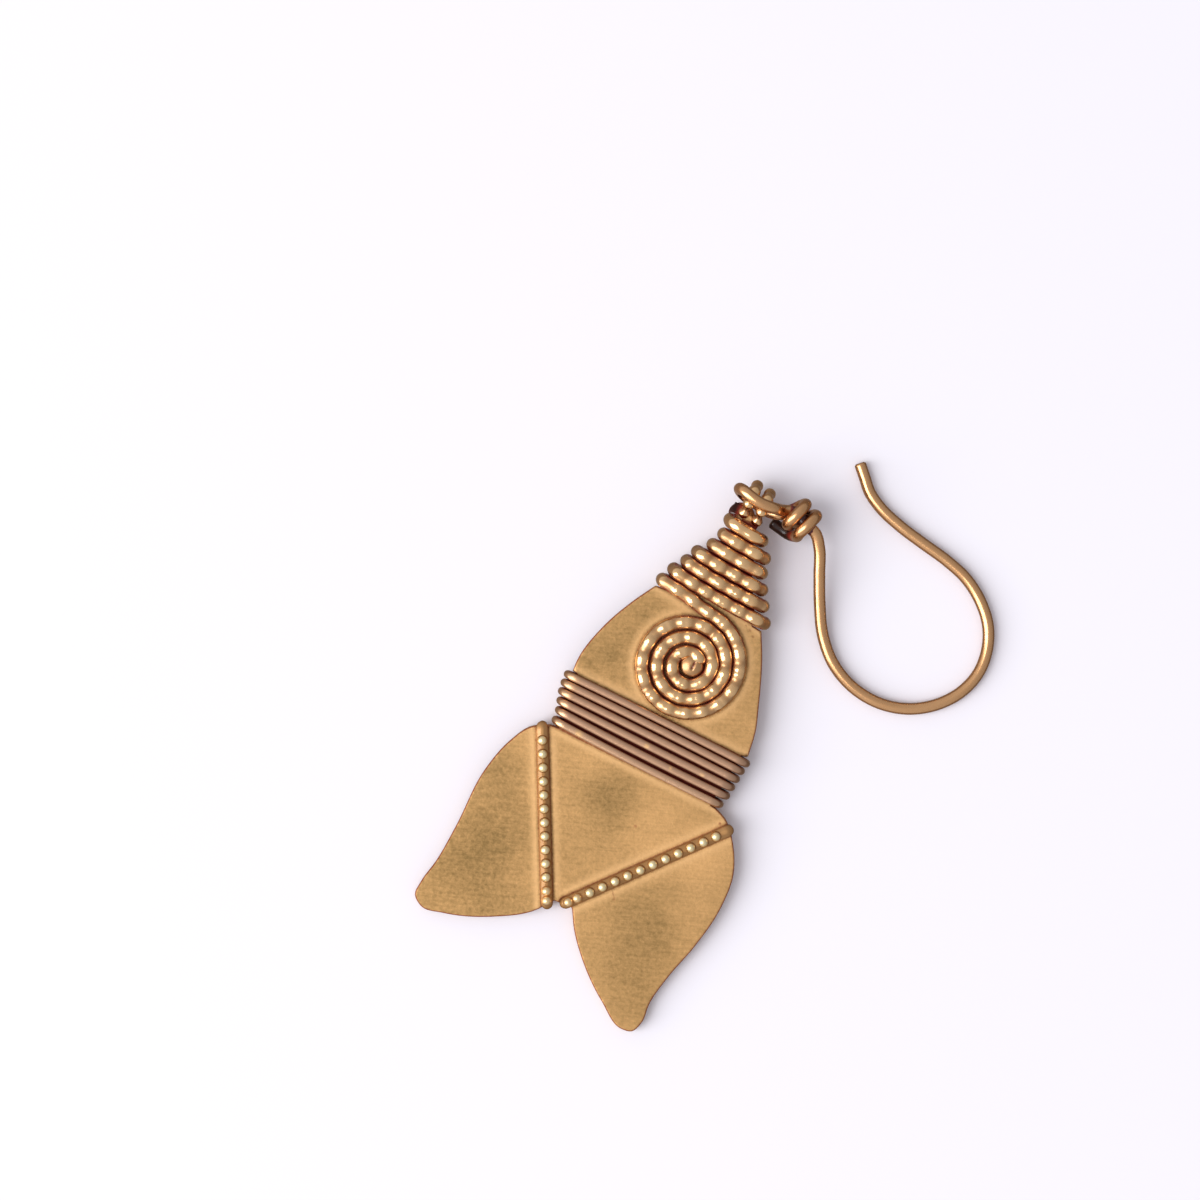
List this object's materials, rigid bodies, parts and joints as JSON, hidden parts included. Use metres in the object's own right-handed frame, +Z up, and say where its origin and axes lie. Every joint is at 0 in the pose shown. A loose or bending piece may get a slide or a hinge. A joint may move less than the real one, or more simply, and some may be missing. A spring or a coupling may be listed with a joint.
{
  "type": "earring",
  "caption": "Fish-shaped brass earring: flat plate wound with plain and beaded wire, wire spiral for an eye, beaded bars on the forked tail, and a long ear hook.",
  "frame": {"origin": "on the surface the earring lies on, under the middle of its box", "axes": "+X to the right across the fish towards the ear hook's arch, +Y from the tail to the nose and bail, +Z up from the surface, out of the fish's front"},
  "size_m": [0.029, 0.0432, 0.0042],
  "materials": {
    "plate_brass": "satin, unevenly darkened, with dark brown oxide beside the wires",
    "waist_wire_brass": "dull, with dark brown oxide between the turns",
    "beaded_wire_brass": "polished beads, with dark brown oxide between the turns",
    "tail_bar_brass": "polished beads, dark brown oxide between them",
    "hook_brass": "smooth, lightly polished, slightly coppery"
  },
  "bodies": {
    "root": {"fish_body": "plate_brass", "waist_wire": "waist_wire_brass", "beaded_wire": "beaded_wire_brass", "tail_bar_left": "tail_bar_brass", "tail_bar_right": "tail_bar_brass", "ear_hook": "hook_brass"}
  },
  "joints": []
}
